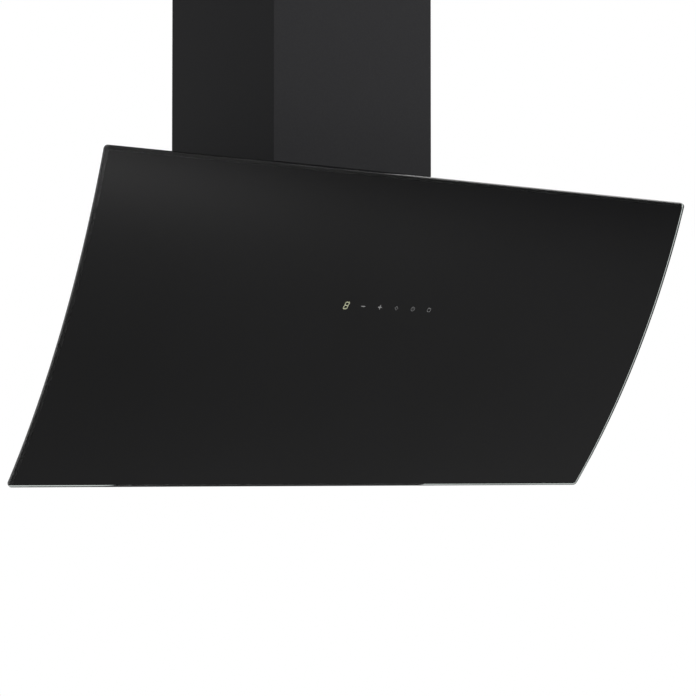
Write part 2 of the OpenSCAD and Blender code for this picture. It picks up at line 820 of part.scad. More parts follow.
// The scroll's wall with its left side, which carries the cradle
module blower_scroll() color([0.55, 0.56, 0.58]) at_blower() {
    extrude_x([-side_in, side_in]) difference() {
        scroll_outline(0, scroll_top);
        scroll_outline(scroll_wall, scroll_top + over);
    }
    difference() {
        scroll_side(-side_in - scroll_wall);
        cradle_screw_places() screw_hole(cradle_t + seat + scroll_wall);
    }
}

module scroll_cover() color([0.6, 0.61, 0.63]) at_blower() scroll_side(side_in + seat);

module motor_cradle() color([0.5, 0.5, 0.52]) at_blower() difference() {
    cradle = [cradle_x - cradle_t, cradle_x];
    union() {
        difference() {
            rod_x(motor_r + cradle_rim, cradle);
            rod_x(motor_r + seat, [cradle[0] - over, cradle[1] + over]);
        }
        for (i = [0 : 2]) rotate([i * 120, 0, 0])
            block(cradle, [-cradle_arm_w / 2, cradle_arm_w / 2],
                [motor_r + cradle_rim / 2, tongue_r - cradle_arm_end]);
    }
    cradle_screw_places() screw_hole(cradle_t);
}

// Through the ends of the cradle's arms, pointing into the scroll
module cradle_screw_places() for (i = [0 : 2]) rotate([i * 120, 0, 0])
    translate([cradle_x - cradle_t, 0, tongue_r - cradle_screw_in]) rotate([0, 90, 0]) children();

module blower_screws() color([0.6, 0.6, 0.62]) at_blower()
    cradle_screw_places() translate([0, 0, -seat]) screw(cradle_t + scroll_wall + screw_grip);

module motor() color([0.25, 0.26, 0.28]) at_blower() difference() {
    union() {
        rod_x(motor_r, [cradle_x - cradle_t - motor_tail, -hub_t - motor_gap]);
        rod_x(hub_r, [-hub_t - motor_gap - over, -hub_t - motor_boss_gap]);
    }
    rod_x(shaft_r + turn_gap, [-shaft_in - shaft_end_gap, 0]);
}

module motor_shaft() color([0.8, 0.8, 0.82]) at_blower() rod_x(shaft_r, [-shaft_in, shaft_out]);

module impeller_hub() color([0.6, 0.61, 0.63]) at_blower() difference() {
    union() {
        rod_x(disc_r, [-hub_t, 0]);
        rod_x(hub_r, [-over / 2, hub_l]);
    }
    rod_x(shaft_r + shaft_gap, [-hub_t - over, hub_l + over]);
}

module impeller_cage() color([0.15, 0.15, 0.16]) at_blower() {
    for (x = [-wheel_w / 2, wheel_w / 2 - ring_t]) difference() {
        rod_x(wheel_r, [x, x + ring_t]);
        rod_x(wheel_r - blade_depth, [x - over, x + ring_t + over]);
    }
    for (i = [0 : blade_count - 1]) rotate([i * 360 / blade_count, 0, 0])
        translate([0, 0, wheel_r - blade_depth / 2]) rotate([blade_lean, 0, 0])
            block([-wheel_w / 2 + ring_t / 2, wheel_w / 2 - ring_t / 2], [-blade_t / 2, blade_t / 2],
                [-blade_half, blade_half]);
}

module capacitor() color([0.85, 0.85, 0.83]) rest()
    translate([0, -sheet_t - seat - cap_r - strap_t / 2, cap_h]) {
        strap_x = [cap_x[0] + strap_in, cap_x[1] - strap_in];
        rod_x(cap_r, cap_x);
        block(strap_x, [0, cap_r + strap_t / 2], [-cap_r - strap_t, -cap_r + strap_t]);
        block(strap_x, [cap_r - strap_t / 2, cap_r + strap_t / 2], [-cap_r - strap_foot, cap_r + strap_foot]);
    }

// Electrics

module control_box() color([0.82, 0.82, 0.8]) rest() difference() {
    block(box_x, box_y, box_z);
    block([box_x[0] + box_wall, box_x[1] - box_wall], [box_y[0] - over, box_y[1] - box_wall],
        [box_z[0] + box_wall, box_z[1] - box_wall]);
    translate([gland_x, -gland_y, box_z[1] - box_wall - over])
        cylinder(r = gland_r + seat, h = box_wall + 2 * over);
}

module control_box_lid() color([0.78, 0.78, 0.76]) rest()
    block(box_x, [box_y[0] - seat - box_wall, box_y[0] - seat], box_z);

module power_board() color([0.05, 0.35, 0.2]) rest() {
    block([box_x[0] + box_wall + seat, box_x[1] - box_wall - seat],
        [box_y[0] + box_wall, box_y[1] - box_wall - seat], [board_z, board_z + board_t]);
    block([box_x[1] - supply_x - supply_w, box_x[1] - supply_x],
        [box_y[0] + supply_y, box_y[0] + supply_y + supply_w],
        [board_z + board_t, board_z + board_t + supply_h]);
}

module terminal_block() color([0.9, 0.9, 0.86]) rest()
    block([box_x[0] + terminal_x, box_x[0] + terminal_x + terminal_w],
        [box_y[0] + terminal_y, box_y[0] + terminal_y + terminal_d],
        [board_z + board_t + seat, board_z + board_t + seat + terminal_h]);

module cable_gland() color([0.1, 0.1, 0.1]) rest() translate([gland_x, -gland_y, 0]) difference() {
    union() {
        translate([0, 0, body_high - gland_drop]) cylinder(r = gland_r, h = gland_l);
        translate([0, 0, body_high + seat]) cylinder(r = gland_r + gland_nut_out, h = gland_nut_t, $fn = 6);
    }
    translate([0, 0, body_high - gland_drop - over]) cylinder(r = gland_bore_r, h = gland_l + 2 * over);
}

// Duct collar and non-return flaps

module at_collar() rest() translate([0, -duct_y, 0]) children();

module outlet_collar() color([0.14, 0.14, 0.15]) at_collar() {
    difference() {
        translate([0, 0, body_high + seat]) {
            cylinder(r = duct_r, h = collar_h);
            cylinder(r = duct_r + collar_flange, h = collar_flange_t);
        }
        translate([0, 0, body_high]) cylinder(r = duct_r - collar_t, h = collar_h + 2 * over);
    }
    intersection() {
        translate([0, 0, body_high]) cylinder(r = duct_r - collar_t / 2, h = collar_h);
        for (y = [-flap_axis, flap_axis]) translate([0, y, flap_h]) left_and_right() difference() {
            rod_x(boss_r, [duct_r - boss_l, duct_r]);
            rod_x(flap_pin_r + shaft_gap, [duct_r - boss_l - over, duct_r + over]);
        }
    }
}

module damper_pins() color([0.75, 0.75, 0.77]) at_collar() for (y = [-flap_axis, flap_axis])
    translate([0, y, flap_h])
        rod_x(flap_pin_r, [-duct_r + collar_t + flap_side, duct_r - collar_t - flap_side]);

// A half disc with a knuckle along its straight edge, cut back beside the bosses
module damper_flap() {
    reach = duct_r - boss_l - flap_side;
    difference() {
        union() {
            rod_x(knuckle_r, [-reach, reach]);
            intersection() {
                translate([0, -flap_axis, -flap_t / 2]) cylinder(r = flap_r, h = flap_t);
                union() {
                    block([-reach, reach], [0, flap_r], [-flap_t, flap_t]);
                    block([-flap_r, flap_r], [boss_r + flap_clear, flap_r], [-flap_t, flap_t]);
                }
            }
        }
        rod_x(flap_pin_r + turn_gap, [-reach - over, reach + over]);
    }
}

module damper_flap_rear() color([0.3, 0.3, 0.32]) at_collar() translate([0, flap_axis, flap_h]) damper_flap();

module damper_flap_front() color([0.3, 0.3, 0.32]) at_collar() mirror([0, 1, 0])
    translate([0, flap_axis, flap_h]) damper_flap();

// Chimney

// A sheet channel, open to the wall, with narrow returns along its back edges
module channel(w, y, z) difference() {
    block([-w / 2, w / 2], y, z);
    block([-w / 2 + cover_t, w / 2 - cover_t], [y[0] + cover_t, y[1] - cover_t], [z[0] - over, z[1] + over]);
    block([-w / 2 + cover_return, w / 2 - cover_return], [y[1] - cover_t - over, y[1] + over],
        [z[0] - over, z[1] + over]);
}

// Screws from both sides, at x from the middle, y from the wall and height z
module screws_from_sides(x, y, z) left_and_right() translate([x, -y, z]) rotate([0, -90, 0]) children();

module chimney_lower() color([0.14, 0.14, 0.15]) rest() difference() {
    channel(chimney_w, [-chimney_d, 0], [chimney_low, chimney_low + lower_cover_h]);
    screws_from_sides(chimney_w / 2, clip_y, clip_screw_z) screw_hole(cover_t);
}

module chimney_clips() color([0.5, 0.5, 0.52]) rest() difference() {
    left_and_right() {
        block([clip_out - clip_t, clip_out], [-clip_y - clip_w / 2, -clip_y + clip_w / 2],
            [body_high + seat, body_high + seat + clip_h]);
        block([clip_out - clip_foot, clip_out], [-clip_y - clip_w / 2, -clip_y - clip_w / 2 + clip_foot_w],
            [body_high + seat, body_high + seat + clip_t]);
    }
    screws_from_sides(chimney_w / 2, clip_y, clip_screw_z) screw_hole(cover_t + seat + clip_t);
}

module chimney_screws() color([0.1, 0.1, 0.1]) rest()
    screws_from_sides(chimney_w / 2 + seat, clip_y, clip_screw_z) screw(cover_t + clip_t + screw_grip);

module chimney_upper() color([0.14, 0.14, 0.15]) rest() difference() {
    channel(upper_w, [-upper_front, -upper_rear], [upper_low, upper_top]);
    block([-upper_w / 2 + cover_t, upper_w / 2 - cover_t], [-upper_rear - cover_t - over, 0],
        [bracket_z[0] - bracket_drop, upper_top + over]);
    screws_from_sides(upper_w / 2, bracket_screw_y, bracket_screw_z) screw_hole(cover_t);
}

module chimney_bracket() color([0.5, 0.5, 0.52]) rest() difference() {
    union() {
        block([-bracket_out, bracket_out], [-bracket_t, 0], bracket_z);
        left_and_right() block([bracket_out - bracket_t, bracket_out], [-bracket_depth, 0], bracket_z);
    }
    for (x = [-1, 1]) translate([x * bracket_hole_w / 2, over, bracket_screw_z])
        rotate([90, 0, 0]) cylinder(r = bracket_hole_r, h = bracket_t + 2 * over);
    screws_from_sides(upper_w / 2, bracket_screw_y, bracket_screw_z) screw_hole(cover_t + seat + bracket_t);
}

module bracket_screws() color([0.1, 0.1, 0.1]) rest()
    screws_from_sides(upper_w / 2 + seat, bracket_screw_y, bracket_screw_z)
        screw(cover_t + bracket_t + screw_grip);

// Grease filters

// The upper edge is rolled about the pivot, so that it turns clear of the tray
module filter_frame() color([0.7, 0.71, 0.72]) slope() {
    difference() {
        block([filter_in, filter_out], [filter_front, filter_back], [filter_low, stub_s]);
        block([filter_in + filter_border, filter_out - filter_border],
            [filter_front - over, filter_back + over],
            [filter_low + filter_border, filter_high - filter_border]);
    }
    translate([0, stub_v, stub_s]) {
        rod_x(filter_t / 2, [filter_in, filter_out]);
        rod_x(stub_r, [filter_in - stub_l, filter_in + over]);
        rod_x(stub_r, [filter_out - over, filter_out + stub_l]);
    }
}

module filter_mesh() color([0.8, 0.81, 0.82]) slope()
    block([filter_in + filter_border + seat, filter_out - filter_border - seat],
        [filter_front + mesh_in, filter_back - mesh_in],
        [filter_low + filter_border + seat, filter_high - filter_border - seat]);

module filter_pull() color([0.6, 0.6, 0.62]) slope() {
    mid = (filter_in + filter_out) / 2;
    low = filter_low + pull_low;
    block([mid - pull_w / 2, mid + pull_w / 2], [filter_front - seat - pull_t, filter_front - seat],
        [low, low + pull_h]);
    block([mid - pull_w / 2, mid + pull_w / 2], [filter_front - seat - pull_reach, filter_front - seat],
        [low + pull_h - pull_t, low + pull_h]);
}

module filter_hangers() color([0.5, 0.5, 0.52]) slope() left_and_right()
    for (x0 = [filter_in - stub_l - seat, filter_out + stub_l + seat - hanger_t]) difference() {
        x = [x0, x0 + hanger_t];
        block(x, [stub_v - hanger_wrap, floor_v - seat], [stub_s - hanger_below, stub_s + hanger_above]);
        translate([0, stub_v, stub_s]) rod_x(stub_r + turn_gap, [x[0] - over, x[1] + over]);
        block([x[0] - over, x[1] + over], [stub_v - stub_r - turn_gap, stub_v + stub_r + turn_gap],
            [stub_s, stub_s + hanger_above + over]);
    }

module filter_magnets() color([0.3, 0.3, 0.32]) slope() left_and_right()
    for (x = [filter_in + magnet_in, filter_out - magnet_in])
        translate([x, tray_back + seat, filter_low + magnet_low]) rotate([-90, 0, 0])
            cylinder(r = magnet_r, h = magnet_t);

back_plate();
housing_shell();
housing_sides();
lamp_panel();
suction_tray();
housing_screws();
tray_screws();
lamp_bezel(-1);  // lamp_bezel_left
lamp_bezel(1);  // lamp_bezel_right
lamp_lenses();
lamp_boards();
blower_scroll();
scroll_cover();
blower_screws();
motor();
motor_cradle();
motor_shaft();
impeller_hub();
impeller_cage();
capacitor();
control_box();
control_box_lid();
power_board();
terminal_block();
cable_gland();
outlet_collar();
damper_pins();
damper_flap_front();
damper_flap_rear();
chimney_lower();
chimney_clips();
chimney_screws();
chimney_upper();
chimney_bracket();
bracket_screws();
mirror([1, 0, 0]) hinge_leaf_body();  // hinge_leaf_body_left
hinge_leaf_body();  // hinge_leaf_body_right
hinge_pins();
hinge_screws();
mirror([1, 0, 0]) hinge_leaf_door();  // hinge_leaf_door_left
hinge_leaf_door();  // hinge_leaf_door_right
catch_magnets();
catch_plates();
glass_panel();
bonding_pads();
door_frame();
control_case();
touch_board();
sensor_springs();
display_module();
display_digit();
touch_symbols();
mirror([1, 0, 0]) filter_frame();  // filter_frame_left
filter_frame();  // filter_frame_right
mirror([1, 0, 0]) filter_mesh();  // filter_mesh_left
filter_mesh();  // filter_mesh_right
mirror([1, 0, 0]) filter_pull();  // filter_pull_left
filter_pull();  // filter_pull_right
filter_hangers();
filter_magnets();
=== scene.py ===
"""The looks of an angled wall range hood with a curved black glass front, in metres."""

import json
import math
from math import cos, pi, radians, sin, sqrt

import bmesh
import bpy
from mathutils import Matrix, Vector


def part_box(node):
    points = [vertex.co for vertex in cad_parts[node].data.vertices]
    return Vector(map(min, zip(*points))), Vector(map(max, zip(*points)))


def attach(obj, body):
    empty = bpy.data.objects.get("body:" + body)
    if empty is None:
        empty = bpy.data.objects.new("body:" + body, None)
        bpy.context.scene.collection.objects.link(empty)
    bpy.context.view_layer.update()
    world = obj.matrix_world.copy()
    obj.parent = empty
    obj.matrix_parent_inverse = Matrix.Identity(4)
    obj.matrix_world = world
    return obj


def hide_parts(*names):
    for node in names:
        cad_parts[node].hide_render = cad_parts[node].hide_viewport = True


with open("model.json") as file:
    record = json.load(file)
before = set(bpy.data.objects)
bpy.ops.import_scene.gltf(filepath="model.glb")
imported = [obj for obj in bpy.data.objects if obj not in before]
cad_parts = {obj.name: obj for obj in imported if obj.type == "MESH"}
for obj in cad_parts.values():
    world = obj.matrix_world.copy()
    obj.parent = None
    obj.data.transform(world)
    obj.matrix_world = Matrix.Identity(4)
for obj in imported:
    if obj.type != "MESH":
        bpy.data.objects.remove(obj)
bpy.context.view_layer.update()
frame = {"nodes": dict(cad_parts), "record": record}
NODES = frame["nodes"]
MM = 0.001

# Glass and the slope that it leans on
GLASS_LOW, GLASS_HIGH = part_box("glass_panel")
GLASS_W = GLASS_HIGH.x - GLASS_LOW.x
GLASS_CHORD = 431 * MM
GLASS_BOW = 19.7 * MM
GLASS_T = 6 * MM
GLASS_CORNER = 5 * MM
GLASS_STAND = 151.5 * MM
TILT = radians(29.7)
GLASS_R = (GLASS_CHORD ** 2 / 4 + GLASS_BOW ** 2) / (2 * GLASS_BOW)
SLOPE = Matrix.Translation((0, -GLASS_STAND, GLASS_LOW.z)) @ Matrix.Rotation(TILT, 4, "X")


def arc_at(s):
    """How far behind the line between its upper and lower edge the glass lies, s up the
    slope. It is negative where the glass bows forward."""
    return GLASS_R - GLASS_BOW - sqrt(GLASS_R ** 2 - (s - GLASS_CHORD / 2) ** 2)


# Camera and light

CAMERA_PLACE = (-1.7688, -2.5086, -0.2167)
CAMERA_TURN = radians(-37.6262)
CAMERA_PITCH = radians(2.0448)
CAMERA_LENS = 119.07
CAMERA_SHIFT = 0.06
SENSOR_W = 36
FLOOR_Z = GLASS_LOW.z - 1.5
FLOOR_R = 11.7
FLOOR_FADE = (0.55, 0.98)
FLOOR_TONE = 0.72
FLOOR_GLOW = 0.72
AMBIENT = 0.27
POOL_PLACE = Vector((1.25, -3.6, FLOOR_Z + 1))


def add_camera():
    data = bpy.data.cameras.new("camera")
    data.lens = CAMERA_LENS
    data.sensor_width = SENSOR_W
    data.shift_y = CAMERA_SHIFT
    camera = bpy.data.objects.new("camera", data)
    camera.location = CAMERA_PLACE
    camera.rotation_euler = (pi / 2 + CAMERA_PITCH, 0, CAMERA_TURN)
    bpy.context.scene.collection.objects.link(camera)
    bpy.context.scene.camera = camera


def add_area_light(name, place, target, size, power, spread=180):
    data = bpy.data.lights.new(name, "AREA")
    data.shape = "DISK"
    data.size = size
    data.energy = power
    data.spread = radians(spread)
    light = bpy.data.objects.new(name, data)
    light.location = place
    light.rotation_euler = (Vector(target) - Vector(place)).to_track_quat("-Z", "Y").to_euler()
    light.visible_glossy = False
    light.visible_transmission = False
    light.visible_camera = False
    bpy.context.scene.collection.objects.link(light)


def either_of(nodes, links, first, second):
    """1 where at least one of two values is 1."""
    either = nodes.new("ShaderNodeMath")
    either.operation = "MAXIMUM"
    links.new(first, either.inputs[0])
    links.new(second, either.inputs[1])
    return either.outputs[0]


def add_world():
    """White to the camera, to mirrors and through glass, and a softer level for diffuse light."""
    world = bpy.data.worlds.new("studio")
    world.use_nodes = True
    nodes, links = world.node_tree.nodes, world.node_tree.links
    nodes.clear()
    path = nodes.new("ShaderNodeLightPath")
    seen = either_of(nodes, links, path.outputs["Is Camera Ray"], path.outputs["Is Glossy Ray"])
    seen = either_of(nodes, links, seen, path.outputs["Is Transmission Ray"])
    mix = nodes.new("ShaderNodeMixShader")
    output = nodes.new("ShaderNodeOutputWorld")
    for place, strength in ((1, AMBIENT), (2, 1)):
        light = nodes.new("ShaderNodeBackground")
        light.inputs["Color"].default_value = (1, 1, 1, 1)
        light.inputs["Strength"].default_value = strength
        links.new(light.outputs[0], mix.inputs[place])
    links.new(seen, mix.inputs[0])
    links.new(mix.outputs[0], output.inputs[0])
    bpy.context.scene.world = world


def add_floor():
    """A pale floor under the hood, which thins out to the white backdrop and is clear from
    below. It glows to the camera alone."""
    mesh = bpy.data.meshes.new("floor")
    shape = bmesh.new()
    bmesh.ops.create_circle(shape, cap_ends=True, segments=96, radius=FLOOR_R)
    shape.to_mesh(mesh)
    shape.free()
    floor = bpy.data.objects.new("floor", mesh)
    floor.location = (0, 0, FLOOR_Z)
    bpy.context.scene.collection.objects.link(floor)
    made = bpy.data.materials.new("floor")
    made.use_nodes = True
    nodes, links = made.node_tree.nodes, made.node_tree.links
    nodes.clear()
    place = nodes.new("ShaderNodeTexCoord")
    length = nodes.new("ShaderNodeVectorMath")
    length.operation = "LENGTH"
    fade = nodes.new("ShaderNodeMapRange")
    fade.interpolation_type = "SMOOTHERSTEP"
    fade.inputs["From Min"].default_value = FLOOR_FADE[0] * FLOOR_R
    fade.inputs["From Max"].default_value = FLOOR_FADE[1] * FLOOR_R
    pale = nodes.new("ShaderNodeBsdfDiffuse")
    pale.inputs["Color"].default_value = (FLOOR_TONE, FLOOR_TONE, FLOOR_TONE, 1)
    clear = nodes.new("ShaderNodeBsdfTransparent")
    side = nodes.new("ShaderNodeNewGeometry")
    path = nodes.new("ShaderNodeLightPath")
    glow = nodes.new("ShaderNodeMath")
    glow.operation = "MULTIPLY"
    glow.inputs[1].default_value = FLOOR_GLOW
    lit = nodes.new("ShaderNodeEmission")
    added = nodes.new("ShaderNodeAddShader")
    mix = nodes.new("ShaderNodeMixShader")
    output = nodes.new("ShaderNodeOutputMaterial")
    links.new(place.outputs["Object"], length.inputs[0])
    links.new(length.outputs["Value"], fade.inputs["Value"])
    hidden = either_of(nodes, links, fade.outputs[0], side.outputs["Backfacing"])
    links.new(hidden, mix.inputs[0])
    links.new(path.outputs["Is Camera Ray"], glow.inputs[0])
    links.new(glow.outputs[0], lit.inputs["Strength"])
    links.new(pale.outputs[0], added.inputs[0])
    links.new(lit.outputs[0], added.inputs[1])
    links.new(added.outputs[0], mix.inputs[1])
    links.new(clear.outputs[0], mix.inputs[2])
    links.new(mix.outputs[0], output.inputs[0])
    mesh.materials.append(made)


def set_studio():
    bpy.context.scene.view_settings.view_transform = "Standard"
    add_camera()
    add_world()
    add_area_light("key", (1.9, -3.6, 2.2), (0, -0.2, 0.2), size=2.4, power=102)
    add_area_light("pool", POOL_PLACE, POOL_PLACE - Vector((0, 0, 1)), size=0.8, power=21)
    add_area_light("rear", (1.3, 2.8, -0.5), (0, -0.1, 0.35), size=2, power=36, spread=90)
    add_floor()


# Materials

NOISE_SPAN = (0.25, 0.75)
BUMP_STRENGTH = 0.6


def shader(name):
    """A new material: its node tree's nodes and links, and its Principled shader."""
    made = bpy.data.materials.new(name)
    made.use_nodes = True
    nodes = made.node_tree.nodes
    return made, nodes, made.node_tree.links, nodes["Principled BSDF"]


def textured(nodes, links, kind, scale, stretch=(1, 1, 1)):
    """The value of a texture in the piece's own space, scale in cells a metre."""
    place = nodes.new("ShaderNodeTexCoord")
    mapping = nodes.new("ShaderNodeMapping")
    mapping.inputs["Scale"].default_value = stretch
    texture = nodes.new("ShaderNodeTexVoronoi" if kind == "cells" else "ShaderNodeTexNoise")
    texture.inputs["Scale"].default_value = scale
    links.new(place.outputs["Object"], mapping.inputs[0])
    links.new(mapping.outputs[0], texture.inputs["Vector"])
    if kind == "cells":
        return texture.outputs["Color"]
    texture.inputs["Detail"].default_value = 4
    return texture.outputs["Fac"]


def ranged(nodes, links, value, low, high):
    """Low to high as the value goes through NOISE_SPAN."""
    spread = nodes.new("ShaderNodeMapRange")
    spread.inputs["From Min"].default_value = NOISE_SPAN[0]
    spread.inputs["From Max"].default_value = NOISE_SPAN[1]
    spread.inputs["To Min"].default_value = low
    spread.inputs["To Max"].default_value = high
    links.new(value, spread.inputs["Value"])
    return spread.outputs[0]


def toned(nodes, links, value, colour, spread):
    """The colour, darker to lighter by that share as the value goes through NOISE_SPAN."""
    ramp = nodes.new("ShaderNodeValToRGB")
    for stop, place, share in zip(ramp.color_ramp.elements, NOISE_SPAN, (1 - spread, 1 + spread)):
        stop.position = place
        stop.color = (*[min(1, part * share) for part in colour], 1)
    links.new(value, ramp.inputs[0])
    return ramp.outputs[0]


def bumped(nodes, links, bsdf, value, depth):
    bump = nodes.new("ShaderNodeBump")
    bump.inputs["Strength"].default_value = BUMP_STRENGTH
    bump.inputs["Distance"].default_value = depth
    links.new(value, bump.inputs["Height"])
    links.new(bump.outputs[0], bsdf.inputs["Normal"])


def finish(name, colour, rough, tone=0.08, grain=60, stretch=(1, 1, 1), kind="noise",
           bump=None, **sockets):
    """A finish whose colour and roughness vary over the surface. rough is (least, most),
    bump is (cells a metre, depth in metres), and sockets are constant shader values."""
    made, nodes, links, bsdf = shader(name)
    value = textured(nodes, links, kind, grain, stretch)
    links.new(toned(nodes, links, value, colour, tone), bsdf.inputs["Base Color"])
    links.new(ranged(nodes, links, value, *rough), bsdf.inputs["Roughness"])
    if bump:
        bumped(nodes, links, bsdf, textured(nodes, links, "noise", bump[0], stretch), bump[1])
    for socket, constant in sockets.items():
        bsdf.inputs[socket.replace("_", " ")].default_value = constant
    return made


def circuit_board():
    """Green lacquer over copper tracks, which show as paler lines."""
    made, nodes, links, bsdf = shader("circuit_board")
    place = nodes.new("ShaderNodeTexCoord")
    tracks = nodes.new("ShaderNodeTexBrick")
    tracks.inputs["Color1"].default_value = (0.014, 0.1, 0.045, 1)
    tracks.inputs["Color2"].default_value = (0.018, 0.12, 0.055, 1)
    tracks.inputs["Mortar"].default_value = (0.05, 0.2, 0.1, 1)
    tracks.inputs["Scale"].default_value = 160
    tracks.inputs["Mortar Size"].default_value = 0.02
    tracks.inputs["Brick Width"].default_value = 1.7
    tracks.inputs["Row Height"].default_value = 0.26
    links.new(place.outputs["Object"], tracks.inputs["Vector"])
    links.new(tracks.outputs["Color"], bsdf.inputs["Base Color"])
    value = textured(nodes, links, "noise", 300)
    links.new(ranged(nodes, links, value, 0.25, 0.38), bsdf.inputs["Roughness"])
    bumped(nodes, links, bsdf, tracks.outputs["Fac"], 0.00003)
    return made


SYMBOL_TONE = 0.44
# painted light: darker tones for the later marks, standing in for how brightly each mark shows, not
# for their print
LATER_SYMBOL_LIGHT_STEPS = ((0.38, 0.22), (0.62, 0.283), (0.85, 0.357))


def symbol_print():
    """Print behind the glass. Minus and plus, which come first in the row, are the brightest, and
    the later marks get darker tones, each from a share of the row's width on. These steps are
    painted light, how brightly each mark shows, not a difference in the print."""
    made, nodes, links, bsdf = shader("symbol_print")
    low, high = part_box("touch_symbols")
    place = nodes.new("ShaderNodeTexCoord")
    parts = nodes.new("ShaderNodeSeparateXYZ")
    along = nodes.new("ShaderNodeMapRange")
    along.inputs["From Min"].default_value = low.x
    along.inputs["From Max"].default_value = high.x
    ramp = nodes.new("ShaderNodeValToRGB")
    ramp.color_ramp.interpolation = "CONSTANT"
    stops = ramp.color_ramp.elements
    stops.remove(stops[1])
    stops[0].color = (SYMBOL_TONE, SYMBOL_TONE, SYMBOL_TONE, 1)
    for share, tone in LATER_SYMBOL_LIGHT_STEPS:
        stops.new(share).color = (tone, tone, tone, 1)
    value = textured(nodes, links, "noise", 800)
    product = nodes.new("ShaderNodeMath")
    product.operation = "MULTIPLY"
    links.new(place.outputs["Object"], parts.inputs[0])
    links.new(parts.outputs["X"], along.inputs["Value"])
    links.new(along.outputs[0], ramp.inputs[0])
    links.new(ramp.outputs[0], product.inputs[0])
    links.new(ranged(nodes, links, value, 0.92, 1.08), product.inputs[1])
    links.new(product.outputs[0], bsdf.inputs["Base Color"])
    links.new(ranged(nodes, links, value, 0.45, 0.6), bsdf.inputs["Roughness"])
    return made


BRUSHED = (1, 30, 30)

FINISHES = {
    "black_glass": finish("black_glass", (0.0035, 0.0035, 0.004), (0.03, 0.06), tone=0.3, grain=5,
                          IOR=1.33),
    "black_paint": finish("black_paint", (0.038, 0.038, 0.04), (0.42, 0.55), grain=500,
                          bump=(1400, 0.00005), Specular_IOR_Level=0.04),
    "zinc_steel": finish("zinc_steel", (0.5, 0.51, 0.53), (0.34, 0.44), tone=0.07, grain=130,
                         kind="cells", bump=(600, 0.00002), Metallic=1.0),
    "hinge_steel": finish("hinge_steel", (0.4, 0.41, 0.43), (0.26, 0.4), tone=0.1, grain=70,
                          stretch=BRUSHED, bump=(260, 0.00002), Metallic=1.0),
    "bright_zinc": finish("bright_zinc", (0.68, 0.69, 0.72), (0.16, 0.3), grain=300, Metallic=1.0),
    "satin_metal": finish("satin_metal", (0.62, 0.62, 0.64), (0.24, 0.36), grain=60,
                          stretch=BRUSHED, bump=(200, 0.00001), Metallic=1.0),
    "filter_steel": finish("filter_steel", (0.66, 0.67, 0.69), (0.26, 0.4), grain=60,
                           stretch=BRUSHED, bump=(220, 0.00002), Metallic=1.0),
    "filter_mesh": finish("filter_mesh", (0.72, 0.73, 0.75), (0.28, 0.45), tone=0.14, grain=220,
                          Metallic=1.0),
    "motor_paint": finish("motor_paint", (0.08, 0.085, 0.09), (0.35, 0.5), grain=300,
                          bump=(900, 0.00004)),
    "black_screw": finish("black_screw", (0.03, 0.03, 0.03), (0.28, 0.42), grain=400, Metallic=0.8),
    "black_plastic": finish("black_plastic", (0.03, 0.03, 0.032), (0.42, 0.58), grain=500,
                            bump=(1600, 0.00004)),
    "grey_plastic": finish("grey_plastic", (0.16, 0.16, 0.17), (0.42, 0.56), grain=500,
                           bump=(1600, 0.00004)),
    "white_plastic": finish("white_plastic", (0.75, 0.75, 0.72), (0.36, 0.5), tone=0.03, grain=400,
                            bump=(1500, 0.00003)),
    "circuit_board": circuit_board(),
    "bonding_foam": finish("bonding_foam", (0.05, 0.05, 0.05), (0.8, 0.95), tone=0.2, grain=700,
                           bump=(1100, 0.0002)),
    "lamp_lens": finish("lamp_lens", (0.9, 0.9, 0.86), (0.4, 0.55), tone=0.02, grain=700,
                        bump=(1400, 0.00004)),
    "lit_digit": finish("lit_digit", (0.69, 0.71, 0.48), (0.4, 0.5), tone=0.08, grain=400),
    "symbol_print": symbol_print(),
}


def enamel():
    """The black enamel on the back of the glass."""
    return finish("back_enamel", (0.006, 0.006, 0.0065), (0.3, 0.45), tone=0.2, grain=160,
                  bump=(500, 0.00002), Specular_IOR_Level=0.15)


def rim_glass():
    """The clear glass of the pane's rim and edges."""
    return finish("rim_glass", (0.5, 0.54, 0.52), (0, 0.02), tone=0.03, grain=900, IOR=1.5,
                  Transmission_Weight=1.0, Specular_Tint=(0.75, 0.75, 0.75, 1))


def knitted_pack_painted_shade():
    """The layers of knitted wire behind the expanded metal, with painted shade: their dark, patchy
    colour stands in for the shade deep in the layers.
    """
    made, nodes, links, bsdf = shader("knitted_pack_painted_shade")
    value = textured(nodes, links, "cells", 420, (1, 1, 2))
    # painted shade: a dark base colour for the wire, standing in for the shade in the pack's depth
    links.new(toned(nodes, links, value, (0.2, 0.2, 0.21), 0.75), bsdf.inputs["Base Color"])
    bumped(nodes, links, bsdf, value, 0.0006)
    bsdf.inputs["Metallic"].default_value = 1.0
    bsdf.inputs["Roughness"].default_value = 0.5
    return made


# Pieces

SLOTS = {row["node"]: row["material_slot"] for row in frame["record"]["subparts"]}
GROUPS = frame["record"]["behaviour"]["bodies"]
BODY_OF = {name: body for body, names in GROUPS.items() for name in names}


def piece(name, mesh, body, slot, materials=(), replaced=()):
    """A new piece of the object from a mesh in place, riding on a body."""
    for made in materials or [FINISHES[slot]]:
        mesh.materials.append(made)
    thing = bpy.data.objects.new(name, mesh)
    bpy.context.scene.collection.objects.link(thing)
    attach(thing, body)
    if replaced:
        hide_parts(*replaced)
    return thing


def stand_in(name, mesh, materials=()):
    """A piece that takes the place of one CAD node, on its body and in its slot."""
    return piece(name + "_shown", mesh, BODY_OF[name], SLOTS[name], materials, [name])


def mesh_of(name, shape, smooth=30):
    """The finished mesh of a bmesh, smooth but for edges sharper than that angle."""
    bmesh.ops.remove_doubles(shape, verts=shape.verts, dist=0.000001)
    bmesh.ops.recalc_face_normals(shape, faces=shape.faces)
    mesh = bpy.data.meshes.new(name)
    shape.to_mesh(mesh)
    shape.free()
    mesh.shade_smooth()
    mesh.set_sharp_from_angle(angle=radians(smooth))
    return mesh


# Glass panel

